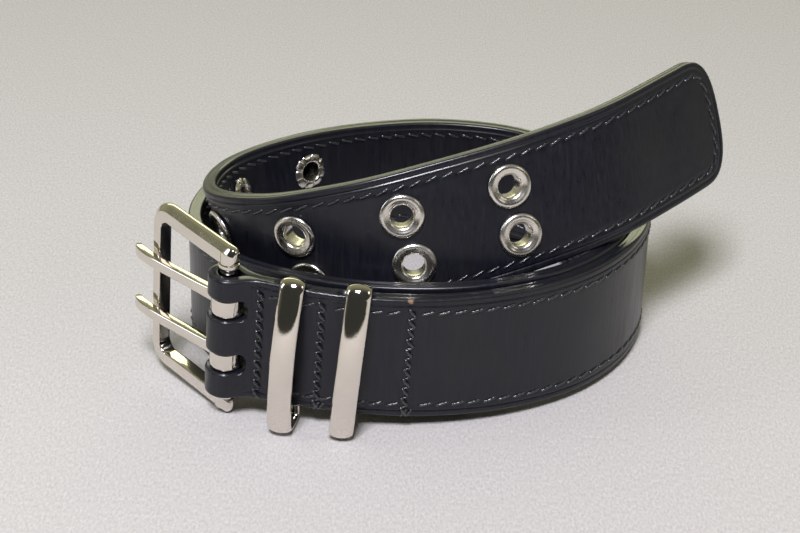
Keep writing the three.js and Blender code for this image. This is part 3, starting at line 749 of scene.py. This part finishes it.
def prong(name, u0):
    rest = FRAME_T / 2 + 0.3 + PRONG_T / 2
    spine = np.array([
        [4.0, -0.1, PRONG_W / 2 + 0.85, 1.25],
        [8, 0.6, PRONG_W / 2 + 0.3, PRONG_T / 2],
        [20, 2.55, PRONG_W / 2, PRONG_T / 2],
        [31, rest + 0.05, PRONG_W / 2, PRONG_T / 2],
        [35, rest + 0.35, PRONG_W / 2, PRONG_T / 2],
        [39.3, rest + 0.4, PRONG_W / 2 - 0.02, PRONG_T / 2],
        [41.9, rest + 0.0, PRONG_W / 2 - 0.15, PRONG_T / 2 - 0.1],
        [43.3, rest - 0.6, PRONG_W / 2 - 0.4, PRONG_T / 2 - 0.35],
        [44.2, rest - 1.2, PRONG_W / 2 - 0.8, PRONG_T / 2 - 0.75],
        [44.5, rest - 1.5, PRONG_W / 2 - 1.35, PRONG_T / 2 - 1.2],
    ])
    fine = []
    n = len(spine)
    for i in range(n - 1):
        a, b, c, d = spine[max(i - 1, 0)], spine[i], spine[i + 1], spine[min(i + 2, n - 1)]
        for t in np.linspace(0, 1, 6 if i < 6 else 4, endpoint=False):
            m1, m2 = (c - a) / 2, (d - b) / 2
            k = np.linalg.norm(c[:2] - b[:2])
            m1 = m1 / max(np.linalg.norm((c - a)[:2]) / 2, 1e-6) * k
            m2 = m2 / max(np.linalg.norm((d - b)[:2]) / 2, 1e-6) * k
            fine.append((2 * t**3 - 3 * t**2 + 1) * b + (t**3 - 2 * t**2 + t) * m1 + (-2 * t**3 + 3 * t**2) * c + (t**3 - t**2) * m2)
    fine.append(spine[-1])
    fine = np.array(fine)
    tan = np.gradient(fine[:, :2], axis=0)
    tan /= np.linalg.norm(tan, axis=1, keepdims=True)
    rings = []
    for (a, b, hw, ht), (ta, tb) in zip(fine, tan):
        box = rounded([(hw, -ht), (hw, ht), (-hw, ht), (-hw, -ht)], [min(0.7, 0.6 * hw, 0.6 * ht)] * 4, 4)
        rings.append(in_frame(a - box[:, 1] * tb, b + box[:, 1] * ta, u0 + box[:, 0]))
    parts = [loft(np.array(rings))]
    ph = np.linspace(0, 2 * math.pi, 56, endpoint=False)
    hw = LOOP_W / 2
    sec = rounded([(LOOP_R, -hw), (LOOP_R, hw), (BAR_R + 0.4, hw), (BAR_R + 0.4, -hw)], [0.7, 0.7, 0.25, 0.25], 3)
    band = [in_frame(r * np.cos(ph), r * np.sin(ph), u0 + v) for r, v in sec]
    parts.append(loft(np.array(band), loop_along=True))
    v, f = join(parts)
    return make(name + "_metal", v, f, sharp=45)


# ---------------------------------------------------------------- materials
def material(name):
    m = bpy.data.materials.new(name)
    m.use_nodes = True
    nt = m.node_tree
    for n in list(nt.nodes):
        nt.nodes.remove(n)
    out = nt.nodes.new("ShaderNodeOutputMaterial")
    bs = nt.nodes.new("ShaderNodeBsdfPrincipled")
    nt.links.new(bs.outputs[0], out.inputs[0])
    return m, nt, bs


def node(nt, kind, **vals):
    n = nt.nodes.new(kind)
    for k, v in vals.items():
        if hasattr(n, k):
            setattr(n, k, v)
        else:
            n.inputs[k.replace("_", " ")].default_value = v
    return n


def noise(nt, scale, vec=None, detail=4.0, rough=0.55):
    n = nt.nodes.new("ShaderNodeTexNoise")
    n.inputs["Scale"].default_value = scale
    n.inputs["Detail"].default_value = detail
    n.inputs["Roughness"].default_value = rough
    if vec is not None:
        nt.links.new(vec, n.inputs["Vector"])
    return n


def stretched(nt, scale):
    co = nt.nodes.new("ShaderNodeTexCoord")
    mp = nt.nodes.new("ShaderNodeMapping")
    mp.inputs["Scale"].default_value = scale
    nt.links.new(co.outputs["Object"], mp.inputs["Vector"])
    return mp.outputs[0]


def ramp(nt, fac, stops):
    r = nt.nodes.new("ShaderNodeValToRGB")
    el = r.color_ramp.elements
    while len(el) < len(stops):
        el.new(0.5)
    for e, (p, c) in zip(el, stops):
        e.position = p
        e.color = (*c, 1) if len(c) == 3 else c
    nt.links.new(fac, r.inputs[0])
    return r.outputs[0]


def mapr(nt, fac, a, b, c, d):
    r = nt.nodes.new("ShaderNodeMapRange")
    for k, v in zip(("From Min", "From Max", "To Min", "To Max"), (a, b, c, d)):
        r.inputs[k].default_value = v
    nt.links.new(fac, r.inputs["Value"])
    return r.outputs[0]


def bump(nt, height, dist, strength=1.0, under=None):
    b = nt.nodes.new("ShaderNodeBump")
    b.inputs["Distance"].default_value = dist
    b.inputs["Strength"].default_value = strength
    nt.links.new(height, b.inputs["Height"])
    if under is not None:
        nt.links.new(under, b.inputs["Normal"])
    return b.outputs[0]


def leather():
    m, nt, bs = material("black_bridle_leather")
    co = stretched(nt, (1, 1, 1))
    streak = noise(nt, 900, stretched(nt, (1, 1, 0.06)), 3, 0.6)
    broad = noise(nt, 38, co, 3, 0.5)
    pores = noise(nt, 2600, co, 2, 0.6)
    base = ramp(nt, streak.outputs[0], [(0.3, (0.0056, 0.0062, 0.0105)), (0.62, (0.0098, 0.0106, 0.0165)), (0.8, (0.0170, 0.0180, 0.0250))])
    # rubbed places, a little browner
    mix = node(nt, "ShaderNodeMix", data_type="RGBA")
    nt.links.new(mapr(nt, broad.outputs[0], 0.5, 0.75, 0, 0.5), mix.inputs[0])
    nt.links.new(base, mix.inputs[6])
    mix.inputs[7].default_value = (0.014, 0.0125, 0.0125, 1)
    # a speck of raw leather where the folded end is cut, on the top edge
    geo = nt.nodes.new("ShaderNodeNewGeometry")
    spot = Vector((on_strap([54.6], T2 - 0.3, 22.0)[0] * MM).tolist())
    dist = node(nt, "ShaderNodeVectorMath", operation="DISTANCE")
    nt.links.new(geo.outputs["Position"], dist.inputs[0])
    dist.inputs[1].default_value = spot
    warp = noise(nt, 700, co, 2, 0.5)
    add = node(nt, "ShaderNodeMath", operation="MULTIPLY_ADD")
    nt.links.new(warp.outputs[0], add.inputs[0])
    add.inputs[1].default_value = 0.0022
    nt.links.new(dist.outputs["Value"], add.inputs[2])
    tan = node(nt, "ShaderNodeMix", data_type="RGBA")
    nt.links.new(mapr(nt, add.outputs[0], 0.0017, 0.0021, 0.85, 0), tan.inputs[0])
    nt.links.new(mix.outputs[2], tan.inputs[6])
    tan.inputs[7].default_value = (0.32, 0.20, 0.11, 1)
    nt.links.new(tan.outputs[2], bs.inputs["Base Color"])
    rg = node(nt, "ShaderNodeMath", operation="ADD")
    nt.links.new(mapr(nt, streak.outputs[0], 0.3, 0.7, 0.27, 0.40), rg.inputs[0])
    nt.links.new(mapr(nt, broad.outputs[0], 0.3, 0.7, -0.03, 0.06), rg.inputs[1])
    nt.links.new(rg.outputs[0], bs.inputs["Roughness"])
    n1 = bump(nt, streak.outputs[0], 0.00006, 0.55)
    n2 = bump(nt, pores.outputs[0], 0.00004, 0.5, n1)
    n3 = bump(nt, broad.outputs[0], 0.0009, 0.35, n2)
    nt.links.new(n3, bs.inputs["Normal"])
    bs.inputs["Specular IOR Level"].default_value = 0.36
    # the cut edges are burnished: glossier than the faces
    edge = nt.nodes.new("ShaderNodeSeparateXYZ")
    nt.links.new(nt.nodes.new("ShaderNodeTexCoord").outputs["Normal"], edge.inputs[0])
    nt.links.new(mapr(nt, edge.outputs["Z"], 0.55, 0.92, 0.10, 0.9), bs.inputs["Coat Weight"])
    bs.inputs["Coat Roughness"].default_value = 0.16
    return m


def metal(name, tint, rough, scratch=1.0):
    m, nt, bs = material(name)
    co = stretched(nt, (1, 1, 1))
    cloud = noise(nt, 160, co, 4, 0.6)
    fine = noise(nt, 1500, stretched(nt, (1, 1, 0.15)), 3, 0.6)
    base = ramp(nt, cloud.outputs[0], [(0.3, tuple(c * 0.94 for c in tint)), (0.7, tint)])
    nt.links.new(base, bs.inputs["Base Color"])
    bs.inputs["Metallic"].default_value = 1.0
    rg = node(nt, "ShaderNodeMath", operation="ADD")
    nt.links.new(mapr(nt, cloud.outputs[0], 0.35, 0.75, rough, rough * 1.8), rg.inputs[0])
    nt.links.new(mapr(nt, fine.outputs[0], 0.5, 0.8, 0, 0.06 * scratch), rg.inputs[1])
    nt.links.new(rg.outputs[0], bs.inputs["Roughness"])
    nt.links.new(bump(nt, fine.outputs[0], 0.000012, 0.4 * scratch, bump(nt, cloud.outputs[0], 0.00016, 0.25)), bs.inputs["Normal"])
    return m


def thread_material():
    m, nt, bs = material("waxed_black_thread")
    co = stretched(nt, (1, 1, 1))
    fib = noise(nt, 2400, co, 3, 0.6)
    base = ramp(nt, fib.outputs[0], [(0.4, (0.006, 0.007, 0.010)), (0.68, (0.020, 0.023, 0.031)), (0.8, (0.16, 0.17, 0.20))])
    nt.links.new(base, bs.inputs["Base Color"])
    nt.links.new(mapr(nt, fib.outputs[0], 0.3, 0.7, 0.22, 0.42), bs.inputs["Roughness"])
    bs.inputs["Specular IOR Level"].default_value = 0.8
    bs.inputs["Coat Weight"].default_value = 0.5
    bs.inputs["Coat Roughness"].default_value = 0.2
    nt.links.new(bump(nt, fib.outputs[0], 0.00008, 0.6), bs.inputs["Normal"])
    return m


def floor_material():
    m, nt, bs = material("pale_cloth")
    co = stretched(nt, (1, 1, 1))
    weave = noise(nt, 1300, stretched(nt, (1, 0.45, 1)), 3, 0.7)
    slub = noise(nt, 60, stretched(nt, (1, 4, 1)), 3, 0.5)
    base = ramp(nt, weave.outputs[0], [(0.28, (0.46, 0.440, 0.432)), (0.72, (0.70, 0.672, 0.664))])
    mix = node(nt, "ShaderNodeMix", data_type="RGBA")
    nt.links.new(mapr(nt, slub.outputs[0], 0.35, 0.7, 0, 0.35), mix.inputs[0])
    nt.links.new(base, mix.inputs[6])
    mix.inputs[7].default_value = (0.57, 0.553, 0.545, 1)
    nt.links.new(mix.outputs[2], bs.inputs["Base Color"])
    bs.inputs["Roughness"].default_value = 0.95
    bs.inputs["Specular IOR Level"].default_value = 0.15
    nt.links.new(bump(nt, weave.outputs[0], 0.0004, 0.6), bs.inputs["Normal"])
    return m


# ---------------------------------------------------------------- build
LEATHER, THREAD = leather(), thread_material()
NICKEL = metal("polished_nickel", (0.80, 0.745, 0.675), 0.07)
KEEPER_METAL = metal("polished_nickel_keeper", (0.80, 0.745, 0.675), 0.05, 0.6)
EYELET_METAL = metal("nickel_eyelet", (0.80, 0.76, 0.70), 0.20)


def place(obj, mat, body, nodes=()):
    obj.data.materials.clear()
    obj.data.materials.append(mat)
    if nodes:
        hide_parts(*nodes)
    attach(obj, body)
    return obj


place(strap_mesh(), LEATHER, "belt_body", ["strap"])
place(edge_stitches("edge_stitching_front", 1), THREAD, "belt_body")
place(edge_stitches("edge_stitching_back", -1), THREAD, "belt_body")
for i, c in enumerate(CROSS_ROWS):
    place(cross_stitches(f"cross_stitching_{i + 1}_front", 1, c), THREAD, "belt_body")
    place(cross_stitches(f"cross_stitching_{i + 1}_back", -1, c), THREAD, "belt_body")
for k in range(6):
    for row in ("upper", "lower"):
        place(eyelet(k, row), EYELET_METAL, "belt_body", [f"eyelet_{k + 1}_{row}"])
for name, at, middle, tilt in KEEPERS:
    place(keeper(name, at, middle, tilt), KEEPER_METAL, "belt_body", [name])
place(buckle(), NICKEL, "frame_body", ["buckle_frame"])
place(prong("prong_upper", PRONG_U[0]), NICKEL, "upper_prong_body", ["prong_upper"])
place(prong("prong_lower", PRONG_U[1]), NICKEL, "lower_prong_body", ["prong_lower"])

# ---------------------------------------------------------------- floor, light, camera
mesh = bpy.data.meshes.new("floor")
mesh.from_pydata([(-4, -4, 0), (4, -4, 0), (4, 4, 0), (-4, 4, 0)], [], [(0, 1, 2, 3)])
floor = bpy.data.objects.new("floor", mesh)
floor.data.materials.append(floor_material())
bpy.context.scene.collection.objects.link(floor)
floor.location.z = -0.0001


def area(name, at, look, size, power, color):
    d = bpy.data.lights.new(name, "AREA")
    d.shape = "RECTANGLE"
    d.size, d.size_y = size
    d.energy = power
    d.color = color
    o = bpy.data.objects.new(name, d)
    bpy.context.scene.collection.objects.link(o)
    o.location = at
    o.rotation_euler = (Vector(look) - Vector(at)).to_track_quat("-Z", "Y").to_euler()
    return o


area("key", (-0.14, -0.78, 1.20), (0, 0, 0.03), (0.34, 0.34), 23.3, (0.925, 0.92, 0.985))
area("back_window", (0.1, 1.7, 0.95), (0, 0, 0.03), (2.4, 0.6), 9, (0.98, 1.0, 0.66))
area("left_window", (-1.4, -0.25, 0.75), (0, 0, 0.03), (0.35, 0.8), 3, (0.86, 0.94, 1.0))
area("right_fill", (1.3, -0.5, 0.9), (0, 0, 0.03), (0.5, 0.5), 1.5, (1.0, 0.95, 0.88))

world = bpy.data.worlds.new("room")
bpy.context.scene.world = world
world.use_nodes = True
wn = world.node_tree
bg = wn.nodes["Background"]
bg.inputs[1].default_value = 1.0
tc = wn.nodes.new("ShaderNodeTexCoord")
sep = wn.nodes.new("ShaderNodeSeparateXYZ")
wn.links.new(tc.outputs["Generated"], sep.inputs[0])
wr = wn.nodes.new("ShaderNodeValToRGB")
wn.links.new(sep.outputs["Y"], wr.inputs[0])
mr = wn.nodes.new("ShaderNodeMapRange")
for key, v in zip(("From Min", "From Max", "To Min", "To Max"), (-1, 1, 0, 1)):
    mr.inputs[key].default_value = v
wn.links.new(sep.outputs["Y"], mr.inputs["Value"])
wn.links.new(mr.outputs[0], wr.inputs[0])
el = wr.color_ramp.elements
el[0].position, el[0].color = 0.25, (0.040, 0.040, 0.036, 1)
el[1].position, el[1].color = 0.75, (0.30, 0.30, 0.19, 1)
wn.links.new(wr.outputs[0], bg.inputs[0])

cam = bpy.data.cameras.new("camera")
camera = bpy.data.objects.new("camera", cam)
bpy.context.scene.collection.objects.link(camera)
cam.sensor_width = 36
cam.lens = 1757.3 / 800 * 36
cam.clip_start = 0.01
el_, roll, far = math.radians(27.86), math.radians(1.54), 0.6132
target = Vector((-0.0118, 0.0003, 0.025))
fwd = Vector((0, math.cos(el_), -math.sin(el_)))
right = Vector((1, 0, 0))
up = right.cross(fwd)
r2 = right * math.cos(roll) + up * math.sin(roll)
u2 = up * math.cos(roll) - right * math.sin(roll)
m = Matrix((r2, u2, -fwd)).transposed().to_4x4()
m.translation = target - fwd * far
camera.matrix_world = m
bpy.context.scene.camera = camera
bpy.context.scene.view_settings.view_transform = "Standard"
bpy.context.scene.view_settings.look = "None"
bpy.context.scene.view_settings.exposure = 0.0
